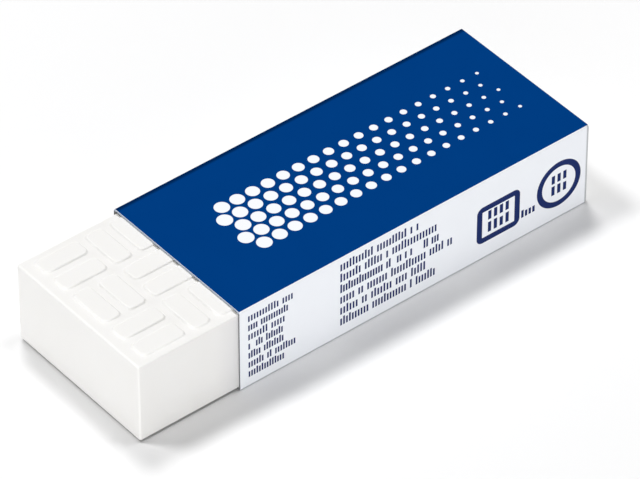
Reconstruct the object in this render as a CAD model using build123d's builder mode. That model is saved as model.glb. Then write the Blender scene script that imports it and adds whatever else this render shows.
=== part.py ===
# A white vinyl eraser block in a folded card sleeve. Lengths are in millimetres.
# X runs along the block from its bare working end to its tail, and Z is up.
# The origin is on the table, under the middle of the block.
import os

from build123d import *

# Moulded block
block_length = 65.0
block_width = 22.0
block_height = 10.85
block_edge_radius = 0.25

# Basket weave of raised bars on the block's top face
weave_cell = 7.0
weave_margin = 0.45
bars_per_cell = 2
bar_gap = 0.9
bar_corner_share = 0.27
relief_height = 0.22
relief_draft_angle = 35.0

# Card sleeve: a strip folded round the block and glued down its far side
card_thickness = 0.24
sleeve_length = 50.8
tail_reveal = 0.4
sleeve_clearance = 0.05
inner_fold_radius = 0.08
glue_flap_height = 6.0
lap_setback = 0.25

# Heights of the block inside the sleeve
block_bottom = card_thickness + sleeve_clearance
block_top = block_bottom + block_height
relief_top = block_top + relief_height

# The weave's cells fill the top face as far as the margin allows
weave_columns = int((block_length - 2 * weave_margin) // weave_cell)
weave_rows = int((block_width - 2 * weave_margin) // weave_cell)
bar_pitch = weave_cell / bars_per_cell
bar_length = weave_cell - bar_gap
bar_width = bar_pitch - bar_gap


def bar_places(first_cell, turn):
    """Places of the bars in every second cell, counted from first_cell, at one turn."""
    places = []
    for column in range(weave_columns):
        for row in range(weave_rows):
            if (column + row) % 2 != first_cell:
                continue
            cell_x = (column - (weave_columns - 1) / 2) * weave_cell
            cell_y = (row - (weave_rows - 1) / 2) * weave_cell
            cell = Location((cell_x, cell_y, 0), (0, 0, turn))
            for bar in range(bars_per_cell):
                bar_y = (bar - (bars_per_cell - 1) / 2) * bar_pitch
                places.append(cell * Location((0, bar_y, 0)))
    return places


# Eraser block: soft-edged, with the weave pressed up out of its top face
with BuildPart() as eraser_block:
    with BuildSketch(Plane.XY.offset(block_bottom)):
        Rectangle(block_length, block_width)
    extrude(amount=block_height)
    fillet(eraser_block.edges(), radius=block_edge_radius)
    with BuildSketch(Plane.XY.offset(block_top)):
        with Locations(*bar_places(0, 0), *bar_places(1, 90)):
            RectangleRounded(bar_length, bar_width, bar_width * bar_corner_share)
    extrude(amount=relief_height, taper=relief_draft_angle)
eraser_block.part.label = "eraser_block"

# The sleeve's section: inside faces clear the block and its relief
near_inside = -block_width / 2 - sleeve_clearance
near_outside = near_inside - card_thickness
far_inside = block_width / 2 + sleeve_clearance
flap_outside = far_inside + card_thickness
lap_outside = flap_outside + card_thickness
roof_inside = relief_top + sleeve_clearance
roof_outside = roof_inside + card_thickness
outer_fold_radius = inner_fold_radius + card_thickness
lap_edge = outer_fold_radius + lap_setback
sleeve_front = block_length / 2 - tail_reveal - sleeve_length

# Card sleeve: the far panel leans out over the glue flap, and stops short of the lower fold
with BuildPart() as card_sleeve:
    with BuildSketch(Plane.YZ.offset(sleeve_front)):
        with BuildLine():
            FilletPolyline(
                (near_outside, 0),
                (flap_outside, 0),
                (flap_outside, lap_edge),
                (lap_outside, lap_edge),
                (lap_outside, glue_flap_height),
                (flap_outside, roof_outside),
                (near_outside, roof_outside),
                radius=[outer_fold_radius, outer_fold_radius, 0, 0, 0, outer_fold_radius, outer_fold_radius],
                close=True,
            )
        make_face()
        with BuildLine():
            FilletPolyline(
                (near_inside, card_thickness),
                (far_inside, card_thickness),
                (far_inside, glue_flap_height),
                (flap_outside, glue_flap_height),
                (far_inside, roof_inside),
                (near_inside, roof_inside),
                radius=[inner_fold_radius, inner_fold_radius, 0, 0, inner_fold_radius, inner_fold_radius],
                close=True,
            )
        make_face(mode=Mode.SUBTRACT)
    extrude(amount=sleeve_length)
card_sleeve.part.label = "card_sleeve"

os.makedirs("parts", exist_ok=True)
export_step(eraser_block.part, "parts/eraser_block.step")
export_step(card_sleeve.part, "parts/card_sleeve.step")
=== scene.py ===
# A white vinyl eraser block in a printed card sleeve, lying on a white table.
# The block is dressed first, then the sleeve round it, then the table, the light and the camera.
import math

import bpy
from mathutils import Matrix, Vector


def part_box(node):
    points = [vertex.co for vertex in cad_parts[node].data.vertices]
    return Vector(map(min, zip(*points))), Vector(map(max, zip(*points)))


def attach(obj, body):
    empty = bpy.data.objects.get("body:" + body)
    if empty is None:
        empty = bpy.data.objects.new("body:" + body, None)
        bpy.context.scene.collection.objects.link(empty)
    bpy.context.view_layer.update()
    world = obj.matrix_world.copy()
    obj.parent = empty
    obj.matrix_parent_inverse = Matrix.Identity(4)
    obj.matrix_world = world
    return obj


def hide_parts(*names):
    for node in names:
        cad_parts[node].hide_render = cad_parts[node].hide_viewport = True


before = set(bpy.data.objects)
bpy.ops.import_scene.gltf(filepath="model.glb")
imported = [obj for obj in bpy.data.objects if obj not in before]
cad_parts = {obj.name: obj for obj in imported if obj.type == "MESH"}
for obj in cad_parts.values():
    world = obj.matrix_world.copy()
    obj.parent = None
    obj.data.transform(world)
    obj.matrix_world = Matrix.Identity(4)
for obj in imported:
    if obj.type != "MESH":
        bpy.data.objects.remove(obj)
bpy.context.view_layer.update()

bpy.context.scene.view_settings.view_transform = "Standard"

# Eraser block
# The block is soft white vinyl, moulded in one piece with a weave of raised bars pressed on its top.
# Its edges came slightly rounded from the mould. Nothing is fixed to it: the sleeve only grips it.
block_low, block_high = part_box("eraser_block")
block_edge_radius = 0.00025
block_edge_steps = 5
weave_cell = 0.007
weave_columns = 9
weave_rows = 3
bars_per_cell = 2
bar_gap = 0.0009
bar_corner_radius = 0.0007
bar_corner_steps = 4
relief_height = 0.00022
relief_draft = 0.000154
relief_softness = 0.00011
relief_steps = 3
block_top = block_high.z - relief_height
block_size = Vector((block_high.x - block_low.x, block_high.y - block_low.y, block_top - block_low.z))
block_middle = Vector((0, 0, (block_low.z + block_top) / 2))
bar_pitch = weave_cell / bars_per_cell
bar_length = weave_cell - bar_gap
bar_width = bar_pitch - bar_gap
hair = 0.000005


def start_piece(name, size):
    """Names the primitive that was just added, and gives it its size and place for good."""
    piece = bpy.context.object
    piece.name = name
    piece.data.name = name
    piece.scale = size
    bpy.ops.object.transform_apply(location=True, rotation=True, scale=True)
    return piece


def pick_edges(piece, wanted):
    """In edit mode, selects the edges for whose two ends wanted is true, and nothing else."""
    bpy.ops.mesh.select_mode(type="EDGE")
    bpy.ops.mesh.select_all(action="DESELECT")
    bpy.ops.object.mode_set(mode="OBJECT")
    points = piece.data.vertices
    for edge in piece.data.edges:
        edge.select = wanted(points[edge.vertices[0]].co, points[edge.vertices[1]].co)
    bpy.ops.object.mode_set(mode="EDIT")


def apply_modifier(piece, kind, **settings):
    """Adds a modifier, sets it and applies it."""
    modifier = piece.modifiers.new(kind.lower(), kind)
    for name, value in settings.items():
        setattr(modifier, name, value)
    bpy.ops.object.modifier_apply(modifier=modifier.name)


# One bar: its rounded outline, the flat ground out to half of the gap, and the raised face
bpy.ops.object.select_all(action="DESELECT")
bpy.ops.mesh.primitive_plane_add(size=1, location=(0, 0, block_top))
block = start_piece("vinyl_block", (bar_length, bar_width, 1))
bpy.ops.object.mode_set(mode="EDIT")
bpy.ops.mesh.bevel(offset=bar_corner_radius, segments=bar_corner_steps, affect="VERTICES")
bpy.ops.mesh.delete(type="ONLY_FACE")
bpy.ops.mesh.primitive_plane_add(size=1, location=(0, 0, block_top))
bpy.ops.transform.resize(value=(weave_cell, bar_pitch, 1), center_override=(0, 0, block_top))
bpy.ops.mesh.delete(type="ONLY_FACE")
pick_edges(block, lambda a, b: abs(a.x - b.x) > weave_cell - hair)
bpy.ops.mesh.subdivide(number_cuts=1)
bpy.ops.mesh.select_all(action="SELECT")
bpy.ops.mesh.bridge_edge_loops()


def on_bar(a, b):
    """True where both ends of an edge are on the bar, not out on the ground round it."""
    reach_x = max(abs(a.x), abs(b.x))
    reach_y = max(abs(a.y), abs(b.y))
    return reach_x < bar_length / 2 + hair and reach_y < bar_width / 2 + hair


pick_edges(block, on_bar)
bpy.ops.mesh.edge_face_add()
bpy.ops.mesh.inset(thickness=relief_draft, depth=0)
bpy.ops.transform.translate(value=(0, 0, relief_height))
pick_edges(block, lambda a, b: on_bar(a, b) and abs(a.z - b.z) < hair)
bpy.ops.mesh.bevel(offset=relief_softness, segments=relief_steps)
bpy.ops.object.mode_set(mode="OBJECT")

# The bars of every second cell lie along the block, and the others across it
bars = [block]
for column in range(weave_columns):
    for row in range(weave_rows):
        cell = Vector((column - (weave_columns - 1) / 2, row - (weave_rows - 1) / 2, 0)) * weave_cell
        turned = (column + row) % 2
        for bar in range(bars_per_cell):
            step = (bar - (bars_per_cell - 1) / 2) * bar_pitch
            if column or row or bar:
                bpy.ops.object.duplicate()
                bars.append(bpy.context.object)
            bars[-1].location = cell + Vector((step * turned, step * (1 - turned), 0))
            bars[-1].rotation_euler = (0, 0, math.pi / 2 * turned)
for bar in bars:
    bar.select_set(True)
bpy.context.view_layer.objects.active = block
bpy.ops.object.join()
bpy.ops.object.transform_apply(location=True, rotation=True, scale=True)

# The block under them: out to its own edges, down its sides and across its base
weave_size = Vector((weave_columns, weave_rows, 1)) * weave_cell
border = (block_size.x / weave_size.x, block_size.y / weave_size.y, 1)


def on_rim(size, a, b):
    """True where both ends of an edge are on the same side of a rectangle about the middle."""
    long_side = max(abs(abs(a.y) - size.y / 2), abs(abs(b.y) - size.y / 2)) < hair
    short_side = max(abs(abs(a.x) - size.x / 2), abs(abs(b.x) - size.x / 2)) < hair
    return long_side or short_side


def on_block_edge(a, b):
    """True for a part of the block's own twelve edges."""
    if abs(a.z - b.z) < hair:
        return on_rim(block_size, a, b)
    return abs(abs(a.x) - block_size.x / 2) < hair and abs(abs(a.y) - block_size.y / 2) < hair


bpy.ops.object.mode_set(mode="EDIT")
bpy.ops.mesh.select_all(action="SELECT")
bpy.ops.mesh.remove_doubles(threshold=hair)
pick_edges(block, lambda a, b: on_rim(weave_size, a, b))
bpy.ops.mesh.extrude_edges_move()
bpy.ops.transform.resize(value=border, center_override=(0, 0, block_top))
bpy.ops.mesh.extrude_edges_move(TRANSFORM_OT_translate={"value": (0, 0, -block_size.z)})
bpy.ops.mesh.edge_face_add()
bpy.ops.mesh.select_all(action="SELECT")
bpy.ops.mesh.normals_make_consistent(inside=False)
pick_edges(block, on_block_edge)
bpy.ops.mesh.bevel(offset=block_edge_radius, segments=block_edge_steps)
bpy.ops.object.mode_set(mode="OBJECT")
bpy.ops.object.shade_smooth()
apply_modifier(block, "WEIGHTED_NORMAL", keep_sharp=True)


class Socket:
    """An output in a material's nodes. Sums on it add Math nodes to the same material."""

    def __init__(self, output):
        self.output = output
        self.tree = output.id_data

    def node(self, kind, settings, inputs, result=0):
        """Adds any node: its settings first, then the values or links of its sockets."""
        made = self.tree.nodes.new(kind)
        for name, value in settings.items():
            setattr(made, name, value)
        for name, value in inputs.items():
            if isinstance(value, Socket):
                self.tree.links.new(value.output, made.inputs[name])
            else:
                made.inputs[name].default_value = value
        return Socket(made.outputs[result])

    def feed(self, node, name):
        """Links this to a socket of a node that is already there."""
        self.tree.links.new(self.output, node.inputs[name])

    def math(self, operation, *values):
        """A sum that has no sign of its own in Python."""
        return self.node("ShaderNodeMath", {"operation": operation}, dict(enumerate(values)))

    def __add__(self, other):
        return self.math("ADD", self, other)

    def __radd__(self, other):
        return self.math("ADD", other, self)

    def __sub__(self, other):
        return self.math("SUBTRACT", self, other)

    def __rsub__(self, other):
        return self.math("SUBTRACT", other, self)

    def __mul__(self, other):
        return self.math("MULTIPLY", self, other)

    def __rmul__(self, other):
        return self.math("MULTIPLY", other, self)

    def __truediv__(self, other):
        return self.math("DIVIDE", self, other)

    def __mod__(self, other):
        return self.math("FLOORED_MODULO", self, other)

    def __or__(self, other):
        return self.math("MAXIMUM", self, other)

    def __abs__(self):
        return self.math("ABSOLUTE", self)

    def floor(self):
        """The whole number at or below this."""
        return self.math("FLOOR", self)

    def reach(self, other):
        """How far this and another number, at right angles, are from 0 together."""
        return self.math("SQRT", self * self + other * other)

    def rise(self, start, end):
        """0 below start, 1 above end, and smooth between them."""
        ramp = {"Value": self, "From Min": start, "From Max": end}
        return self.node("ShaderNodeMapRange", {"interpolation_type": "SMOOTHSTEP"}, ramp)

    def mix(self, first, second):
        """The first colour where this is 0, and the second where it is 1."""
        colours = {"Factor": self, 6: first, 7: second}
        return self.node("ShaderNodeMix", {"data_type": "RGBA"}, colours, result=2)

    def axes(self):
        """The three numbers of this vector."""
        split = self.node("ShaderNodeSeparateXYZ", {}, {"Vector": self})
        return [Socket(output) for output in split.output.node.outputs]

    def noise(self, size, detail):
        """Noise from 0 to 1 over this vector, with lumps of about that size in metres."""
        return self.node("ShaderNodeTexNoise", {}, {"Vector": self, "Scale": 1 / size, "Detail": detail})

    def chance(self, row, seed):
        """An even random number from 0 to 1 for each whole number here and in row."""
        cell = self.node("ShaderNodeCombineXYZ", {}, {0: self, 1: row, 2: seed})
        return self.node("ShaderNodeTexWhiteNoise", {}, {"Vector": cell})

    def bump(self, strength, depth):
        """A normal for the shader from this height."""
        return self.node("ShaderNodeBump", {}, {"Strength": strength, "Distance": depth, "Height": self})


def new_material(name, specular):
    """A material with one plain shader: returns it, its shader and the place on the piece."""
    material = bpy.data.materials.new(name)
    material.use_nodes = True
    shader = material.node_tree.nodes["Principled BSDF"]
    shader.inputs["Specular IOR Level"].default_value = specular
    place = Socket(shader.outputs["BSDF"]).node("ShaderNodeTexCoord", {}, {}, result="Object")
    return material, shader, place


# Matte vinyl: a fine grain, slow unevenness of tone, light let a little way in, and on its sides
# a faint grey band of painted shade at the sleeve's front edge, running on under the sleeve
vinyl_white = (0.835, 0.828, 0.815, 1)
vinyl_cream = (0.805, 0.796, 0.778, 1)
vinyl_shaded = (0.735, 0.730, 0.735, 1)
sleeve_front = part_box("card_sleeve")[0].x
sleeve_shade_width = 0.0038
sleeve_shade_under_width = 0.012
sleeve_shade_fade = 0.0006
vinyl_grain_size = 0.0002
vinyl_grain_depth = 0.00001
vinyl_cloud_size = 0.008
vinyl_light_depth = 0.0004
vinyl, vinyl_shader, vinyl_place = new_material("matte_vinyl", specular=0.25)
vinyl_shader.inputs["Subsurface Weight"].default_value = 0.2
vinyl_shader.inputs["Subsurface Radius"].default_value = (1, 1, 0.9)
vinyl_shader.inputs["Subsurface Scale"].default_value = vinyl_light_depth
vinyl_cloud = vinyl_place.noise(vinyl_cloud_size, detail=2)
vinyl_grain = vinyl_place.noise(vinyl_grain_size, detail=3)
vinyl_axes = vinyl_place.axes()
# Painted shade: the sides are greyed from a little before the sleeve's front edge to well under it
sleeve_shade_before = vinyl_axes[0].rise(sleeve_front - sleeve_shade_width, sleeve_front)
sleeve_shade_under = 1 - vinyl_axes[0].rise(sleeve_front, sleeve_front + sleeve_shade_under_width)
on_side = 1 - vinyl_axes[2].rise(block_top - sleeve_shade_fade, block_top)
sleeve_shade = sleeve_shade_before * sleeve_shade_under * on_side * (0.6 + 0.4 * vinyl_cloud)
sleeve_shade.mix(vinyl_cloud.mix(vinyl_white, vinyl_cream), vinyl_shaded).feed(vinyl_shader, "Base Color")
(0.5 + 0.18 * vinyl_grain).feed(vinyl_shader, "Roughness")
vinyl_grain.bump(0.25, vinyl_grain_depth).feed(vinyl_shader, "Normal")
block.data.materials.append(vinyl)
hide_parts("eraser_block")
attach(block, "block")

# Card sleeve
# The sleeve is a strip of white-faced card, printed flat, then creased and folded round the block.
# Its far panel is glued down over a flap that comes up inside, so it leans out a little to pass it.
sleeve_low, sleeve_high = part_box("card_sleeve")
card_thickness = 0.00024
fold_radius = 0.00032
lap_setback = 0.00025
flap_height = 0.006
glue_line = 0.00001
cut_softness = 0.00003
cut_steps = 2
fold_steps = 8
lap_edge = fold_radius + lap_setback
sleeve_length = sleeve_high.x - sleeve_low.x
sleeve_middle = (sleeve_low.x + sleeve_high.x) / 2
far_top = sleeve_high.y - card_thickness
flap_face = far_top - glue_line
far_lean = math.atan(card_thickness / (sleeve_high.z - flap_height))
far_fold_reach = fold_radius / math.tan((math.pi / 2 + far_lean) / 2)

# The strip starts at the far panel's glued edge, and each panel and fold is drawn on from the last
bpy.ops.object.select_all(action="DESELECT")
lap_place = (sleeve_middle, sleeve_high.y, (lap_edge + flap_height) / 2)
bpy.ops.mesh.primitive_plane_add(size=1, location=lap_place, rotation=(math.pi / 2, 0, 0))
sleeve = start_piece("folded_sleeve", (sleeve_length, flap_height - lap_edge, 1))
bpy.ops.object.mode_set(mode="EDIT")
pick_edges(sleeve, lambda a, b: min(a.z, b.z) > flap_height - hair)
far_panel = (
    0,
    far_fold_reach * math.sin(far_lean) - card_thickness,
    sleeve_high.z - far_fold_reach * math.cos(far_lean) - flap_height,
)
bpy.ops.mesh.extrude_region_move(TRANSFORM_OT_translate={"value": far_panel})
folds = (
    (math.pi / 2 - far_lean, far_top - far_fold_reach, sleeve_high.z - fold_radius),
    (math.pi / 2, sleeve_low.y + fold_radius, sleeve_high.z - fold_radius),
    (math.pi / 2, sleeve_low.y + fold_radius, sleeve_low.z + fold_radius),
    (math.pi / 2, flap_face - fold_radius, sleeve_low.z + fold_radius),
)
panels = (
    (0, sleeve_low.y + fold_radius - far_top + far_fold_reach, 0),
    (0, 0, sleeve_low.z - sleeve_high.z + 2 * fold_radius),
    (0, flap_face - sleeve_low.y - 2 * fold_radius, 0),
    (0, 0, flap_height - sleeve_low.z - fold_radius),
)
for (turn, fold_y, fold_z), panel in zip(folds, panels):
    crease = (sleeve_middle, fold_y, fold_z)
    bpy.ops.mesh.spin(steps=fold_steps, angle=-turn, center=crease, axis=(1, 0, 0))
    bpy.ops.mesh.extrude_region_move(TRANSFORM_OT_translate={"value": panel})
bpy.ops.mesh.select_all(action="SELECT")
bpy.ops.mesh.remove_doubles(threshold=hair)
bpy.ops.mesh.normals_make_consistent(inside=False)
bpy.ops.object.mode_set(mode="OBJECT")

# Printed face: white-coated card with a blue field, white dots on it, and navy small print
card_white = (0.875, 0.895, 0.935, 1)
card_shade = (0.85, 0.87, 0.91, 1)
field_blue = (0.0002, 0.0438, 0.208, 1)
field_deep = (0.0002, 0.0405, 0.195, 1)
print_navy = (0.018, 0.031, 0.125, 1)
ink_edge = 0.00002
fibre_size = 0.00018
mottle_size = 0.004
card, card_shader, card_place = new_material("printed_card", specular=0.0)
card_x, card_y, card_z = card_place.axes()


def above(value, limit):
    """1 where the value is over the limit, with the slight softness of a printed edge."""
    return value.rise(limit - ink_edge, limit + ink_edge)


def between(value, low, high):
    """1 where the value is between two limits, with the same softness."""
    return above(value, low) * (1 - above(value, high))


# The blue field covers the two broad panels, from part way round the near folds to past the far ones
field_near = -0.01114
field_turn = 0.0006
base_turn = 0.00015
cut_white = 0.00004
broad = above(card_z, sleeve_high.z - field_turn) + (1 - above(card_z, sleeve_low.z + base_turn))
field = broad * above(card_y, field_near)
field = field * between(card_x, sleeve_low.x + cut_white, sleeve_high.x - cut_white)

# White dots in staggered rows, which fade in size along the sleeve
dot_pitch = 0.0022
dot_rows = 5
dot_columns = 18
dot_left = -0.0125
biggest_dot = 0.00095
smallest_dot = 0.0002
dot_row_pitch = dot_pitch * math.sqrt(3) / 2
dot_bottom = -dot_rows * dot_row_pitch / 2
dot_fade = (biggest_dot - smallest_dot) / dot_columns
dot_down = (card_y - dot_bottom) / dot_row_pitch
dot_row = dot_down.floor()
dot_stagger = 0.5 * (dot_row % 2)
dot_along = (card_x - dot_left) / dot_pitch + dot_stagger
dot_column = dot_along.floor()
dot_x = (dot_along - dot_column - 0.5) * dot_pitch
dot_y = (dot_down - dot_row - 0.5) * dot_row_pitch
dot_radius = biggest_dot - dot_fade * (dot_column - dot_stagger - 0.5)
dots = 1 - above(dot_x.reach(dot_y) - dot_radius, 0)
dots = dots * between(dot_row, -0.5, dot_rows - 0.5) * between(dot_column, 0.5, dot_columns + 0.5)

# Small print on both narrow panels: ragged rows of short dashes, a rounded square and a ring
left_block = {
    "left": 0.0012, "top": 0.01068, "rows": 7, "pitch": 0.001365, "height": 0.00084,
    "shortest": 0.0046, "longest": 0.0074, "dash": 0.00038,
}
middle_block = {
    "left": 0.0143, "top": 0.0110, "rows": 6, "pitch": 0.001615, "height": 0.0010,
    "shortest": 0.0112, "longest": 0.0164, "dash": 0.00042,
}
mark_note = {
    "left": 0.0409, "top": 0.0043, "rows": 1, "pitch": 0.0016, "height": 0.0009,
    "shortest": 0.0021, "longest": 0.0021, "dash": 0.0006,
}
square_filling = {
    "left": 0.0359, "top": 0.0070, "rows": 2, "pitch": 0.00185, "height": 0.0013,
    "shortest": 0.0032, "longest": 0.0032, "dash": 0.0008,
}
ring_filling = {
    "left": 0.0454, "top": 0.0069, "rows": 2, "pitch": 0.0017, "height": 0.0012,
    "shortest": 0.0022, "longest": 0.0022, "dash": 0.0008,
}
gap_share = 0.13
tall_share = 0.3
tall_extra = 0.25
ink_share = 0.62
base_share = 0.8
dash_spread = 0.2
dash_seed = 0.5
tall_seed = 0.3
end_seed = 0.2
mark_line = 0.0008
square_along = 0.03745
square_up = 0.0051
square_half_length = 0.0032
square_half_height = 0.0027
square_corner = 0.0009
ring_along = 0.0465
ring_up = 0.0052
ring_radius = 0.0033
far_side = above(card_y, 0)
along = far_side * (sleeve_high.x - card_x) + (1 - far_side) * (card_x - sleeve_low.x)
narrow = between(card_z, sleeve_low.z + fold_radius, sleeve_high.z - field_turn)


def dash_rows(left, top, rows, pitch, height, shortest, longest, dash):
    """Rows of short dashes in groups, in line at the left and ragged at the right."""
    down = (top - card_z) / pitch
    row = down.floor()
    row_dash = dash * (1 - dash_spread / 2 + dash_spread * row.chance(rows, dash_seed))
    step = (along - left) / row_dash
    place = step.floor()
    gap = (1 - above(place.chance(row, rows), gap_share)) * above(place, 0.5)
    tall = above(place.chance(row, rows + tall_seed), 1 - tall_share)
    row_end = shortest + (longest - shortest) * row.chance(rows, end_seed)
    under_line = (down - row) * pitch
    base = pitch * base_share
    inked = (1 - gap) * between((step - place) * row_dash, 0, dash * ink_share)
    inked = inked * (1 - above(under_line, base))
    inked = inked * above(under_line + tall * (height * tall_extra), base - height)
    inked = inked * above(place, -0.5) * (1 - above(place * row_dash - row_end, 0))
    return inked * between(row, -0.5, rows - 0.5)


def rounded_outline(a, b, half_a, half_b, radius):
    """A line of even width inside the edge of a rounded rectangle about 0."""
    over_a = (abs(a) - (half_a - radius)) | 0
    over_b = (abs(b) - (half_b - radius)) | 0
    return between(over_a.reach(over_b), radius - mark_line, radius)


small_print = rounded_outline(
    along - square_along, card_z - square_up, square_half_length, square_half_height, square_corner,
)
small_print = small_print | rounded_outline(
    along - ring_along, card_z - ring_up, ring_radius, ring_radius, ring_radius,
)
for dash_block in (left_block, middle_block, mark_note, square_filling, ring_filling):
    small_print = small_print | dash_rows(**dash_block)

# Ink on the card: both are a little uneven, and the blue is smoother than the bare face.
# A darker blue band on the far crease and a grey band along the tail's cut edge are painted shade.
field_fold_shade = (0.0002, 0.018, 0.085, 1)
card_edge_shade = (0.48, 0.49, 0.51, 1)
fold_shade_width = 0.0009
tail_shade_width = 0.00035
fibre_depth = 0.00001
mottle = card_place.noise(mottle_size, detail=3)
fibre = card_place.noise(fibre_size, detail=2)
# Painted shade: a darker blue band along the far fold
crease = card_y.rise(far_top - fold_shade_width, far_top - fold_shade_width / 2)
# Painted shade: a grey band along the tail's cut edge
tail_edge_shade = card_x.rise(sleeve_high.x - tail_shade_width, sleeve_high.x - tail_shade_width / 2)
bare_card = tail_edge_shade.mix(mottle.mix(card_white, card_shade), card_edge_shade)
blue_ink = crease.mix(mottle.mix(field_blue, field_deep), field_fold_shade)
printed = (field * (1 - dots)).mix(bare_card, blue_ink)
(small_print * narrow).mix(printed, print_navy).feed(card_shader, "Base Color")
(0.5 + 0.14 * fibre - 0.08 * field).feed(card_shader, "Roughness")
fibre.bump(0.15, fibre_depth).feed(card_shader, "Normal")

# Inside of the card: uncoated and greyish
inside_grey = (0.52, 0.51, 0.49, 1)
inside_pale = (0.60, 0.59, 0.56, 1)
raw_fibre_depth = 0.00002
inside_card, inside_shader, inside_place = new_material("card_inside", specular=0.05)
inside_shader.inputs["Roughness"].default_value = 0.85
inside_fibre = inside_place.noise(fibre_size, detail=4)
inside_fibre.mix(inside_grey, inside_pale).feed(inside_shader, "Base Color")
inside_fibre.bump(0.3, raw_fibre_depth).feed(inside_shader, "Normal")

# Cut edges of the card, with their fibres: paler along the roof, and darker down the sides with painted
# shade
core_grey = (0.15, 0.155, 0.165, 1)
core_shaded_pale = (0.21, 0.215, 0.225, 1)
core_roof = (0.29, 0.34, 0.42, 1)
core_pale = (0.41, 0.46, 0.54, 1)
cut_card, cut_shader, cut_place = new_material("cut_card", specular=0.03)
cut_shader.inputs["Roughness"].default_value = 0.9
cut_fibre = cut_place.noise(fibre_size, detail=4)
on_roof_cut = above(cut_place.axes()[2], sleeve_high.z - card_thickness)
# Painted shade: the cut edges down the sides are darker than those along the roof
shaded_cut = cut_fibre.mix(core_grey, core_shaded_pale)
on_roof_cut.mix(shaded_cut, cut_fibre.mix(core_roof, core_pale)).feed(cut_shader, "Base Color")
cut_fibre.bump(0.4, raw_fibre_depth).feed(cut_shader, "Normal")

# The strip gets its thickness inwards, with the inside and the cut edges in their own materials
sharp_turn = math.radians(60)
smooth_turn = math.radians(30)
sleeve.data.materials.append(card)
sleeve.data.materials.append(inside_card)
sleeve.data.materials.append(cut_card)
apply_modifier(
    sleeve, "SOLIDIFY", thickness=card_thickness, offset=-1, use_even_offset=True,
    material_offset=1, material_offset_rim=2,
)
apply_modifier(
    sleeve, "BEVEL", width=cut_softness, segments=cut_steps, limit_method="ANGLE", angle_limit=sharp_turn,
)
bpy.ops.object.shade_smooth_by_angle(angle=smooth_turn)
apply_modifier(sleeve, "WEIGHTED_NORMAL", keep_sharp=True)
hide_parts("card_sleeve")
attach(sleeve, "sleeve")

# Table
# The table is a plain matt white sheet, far larger than the view.
# Its own colour makes it white under the lamps, and it keeps the eraser's soft shadows.
table_width = 3
table_colour = (0.9, 0.9, 0.902, 1)
bpy.ops.object.select_all(action="DESELECT")
bpy.ops.mesh.primitive_plane_add(size=1, location=(0, 0, 0))
table = start_piece("table", (table_width, table_width, 1))
table_white, table_shader = new_material("table_white", specular=0.0)[:2]
table_shader.inputs["Base Color"].default_value = table_colour
table_shader.inputs["Roughness"].default_value = 0.9
table.data.materials.append(table_white)

# Light
# A white room gives a little even light, and shows as white behind the table and in reflections.
# Three square lamps overhead cast soft shadows on the near side and past both ends.
# A low strip lamp on the camera's side lights the upright faces.
room_light = 0.1
room = bpy.data.worlds.new("white_room")
room.use_nodes = True
bpy.context.scene.world = room
room_shader = room.node_tree.nodes["Background"]
room_shader.inputs["Color"].default_value = (1, 1, 1, 1)
rays = Socket(room_shader.outputs["Background"]).node("ShaderNodeLightPath", {}, {}).output.node.outputs
seen = Socket(rays["Is Camera Ray"]) + Socket(rays["Is Glossy Ray"]) + Socket(rays["Is Transmission Ray"])
(room_light + (1 - room_light) * seen).feed(room_shader, "Strength")
lamp_distance = 1.8
square_lamp = (0.4, 0.4)
strip_lamp = (1.4, 0.24)


def soft_lamp(name, size, direction, power):
    """A rectangular lamp that faces the block from a direction."""
    place = block_middle + Vector(direction).normalized() * lamp_distance
    bpy.ops.object.light_add(type="AREA", location=place)
    lamp = bpy.context.object
    lamp.name = name
    lamp.data.shape = "RECTANGLE"
    lamp.data.size, lamp.data.size_y = size
    lamp.data.energy = power
    lamp.rotation_euler = Vector(direction).to_track_quat("Z", "Y").to_euler()


soft_lamp("tail_lamp", square_lamp, direction=(0.2, 0.41, 1), power=13.6)
soft_lamp("front_lamp", square_lamp, direction=(-0.36, 0.41, 1), power=12.8)
soft_lamp("near_lamp", square_lamp, direction=(0.24, -0.12, 1), power=8.1)
soft_lamp("low_lamp", strip_lamp, direction=(-0.92, -1, 0.07), power=23.0)

# Camera
# A long lens looks down on the bare end and the near side from about 40 degrees.
# Its place and lens were fitted to the straight edges of the block and the sleeve.
view_azimuth = math.radians(-39.085)
view_elevation = math.radians(41.169)
view_distance = 0.657081
view_lens = 327.228
sensor_width = 36
aim_right = 0.001442
aim_down = 0.001002
back = Vector((
    math.sin(view_azimuth) * math.cos(view_elevation),
    -math.cos(view_azimuth) * math.cos(view_elevation),
    math.sin(view_elevation),
))
right = Vector((math.cos(view_azimuth), math.sin(view_azimuth), 0))
down = right.cross(back)
aim = block_middle + right * aim_right + down * aim_down
bpy.ops.object.camera_add(location=aim + back * view_distance)
camera = bpy.context.object
camera.rotation_euler = back.to_track_quat("Z", "Y").to_euler()
camera.data.lens = view_lens
camera.data.sensor_width = sensor_width
bpy.context.scene.camera = camera
